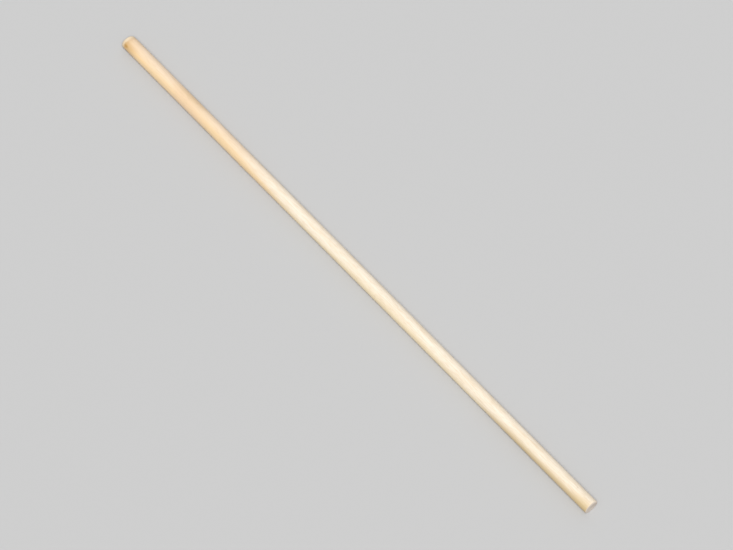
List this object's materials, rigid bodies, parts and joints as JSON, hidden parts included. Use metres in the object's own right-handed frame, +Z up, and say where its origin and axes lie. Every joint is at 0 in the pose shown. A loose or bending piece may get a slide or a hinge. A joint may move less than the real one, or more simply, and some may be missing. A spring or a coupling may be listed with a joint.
{
  "type": "roller extension pole",
  "caption": "Plain round wooden pole for a paint roller, square-sawn where the roller pushes on and rounded over by hand at the other end.",
  "frame": {"origin": "on the surface the pole lies on, under the middle of its length", "axes": "+X along the pole towards the tool end, where the roller pushes on; +Z up from the surface it lies on"},
  "size_m": [1.2, 0.027, 0.027],
  "materials": {
    "wood": "bare wood, sanded smooth"
  },
  "bodies": {
    "root": {"pole": "wood"}
  },
  "joints": []
}
